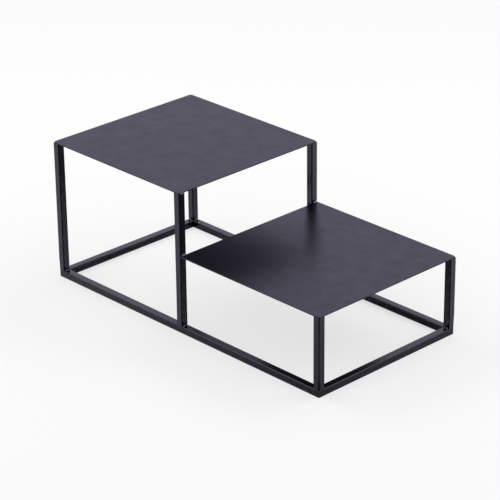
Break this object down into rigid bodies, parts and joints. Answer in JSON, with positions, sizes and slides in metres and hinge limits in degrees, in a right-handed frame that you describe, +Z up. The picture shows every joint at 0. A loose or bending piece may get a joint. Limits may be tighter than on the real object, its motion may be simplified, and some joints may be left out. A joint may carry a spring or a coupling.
{
  "type": "plant stand",
  "caption": "Stepped plant stand of charcoal powder-coated steel: flat square shelves at different heights on a slim welded frame of square tube.",
  "frame": {"origin": "on the floor, under the middle of the stand's footprint", "axes": "+X along the stand from the high shelf to the low shelf, +Y from front to back, +Z up"},
  "size_m": [0.5, 0.25, 0.199],
  "materials": {
    "shelf_coat": "satin charcoal powder coat on steel sheet",
    "frame_coat": "satin charcoal powder coat on steel tube",
    "weld_coat": "satin charcoal powder coat over weld beads"
  },
  "bodies": {
    "root": {"upper_shelf": "shelf_coat", "lower_shelf": "shelf_coat", "front_rail": "frame_coat", "back_rail": "frame_coat", "left_rail": "frame_coat", "right_rail": "frame_coat", "front_left_leg": "frame_coat", "front_mid_leg": "frame_coat", "front_right_leg": "frame_coat", "back_left_leg": "frame_coat", "back_mid_leg": "frame_coat", "back_right_leg": "frame_coat", "weld_front_left_foot_right": "weld_coat", "weld_front_left_foot_back": "weld_coat", "weld_front_left_head_right": "weld_coat", "weld_front_left_head_back": "weld_coat", "weld_back_left_foot_right": "weld_coat", "weld_back_left_foot_front": "weld_coat", "weld_back_left_head_right": "weld_coat", "weld_back_left_head_front": "weld_coat", "weld_front_mid_foot_left": "weld_coat", "weld_front_mid_foot_right": "weld_coat", "weld_front_mid_head_left": "weld_coat", "weld_front_mid_head_back": "weld_coat", "weld_front_mid_step_right": "weld_coat", "weld_front_mid_seam_right": "weld_coat", "weld_back_mid_foot_left": "weld_coat", "weld_back_mid_foot_right": "weld_coat", "weld_back_mid_head_left": "weld_coat", "weld_back_mid_head_front": "weld_coat", "weld_back_mid_step_right": "weld_coat", "weld_front_right_foot_left": "weld_coat", "weld_front_right_foot_back": "weld_coat", "weld_front_right_head_left": "weld_coat", "weld_front_right_head_back": "weld_coat", "weld_back_right_foot_left": "weld_coat", "weld_back_right_foot_front": "weld_coat", "weld_back_right_head_left": "weld_coat", "weld_back_right_head_front": "weld_coat"}
  },
  "joints": []
}
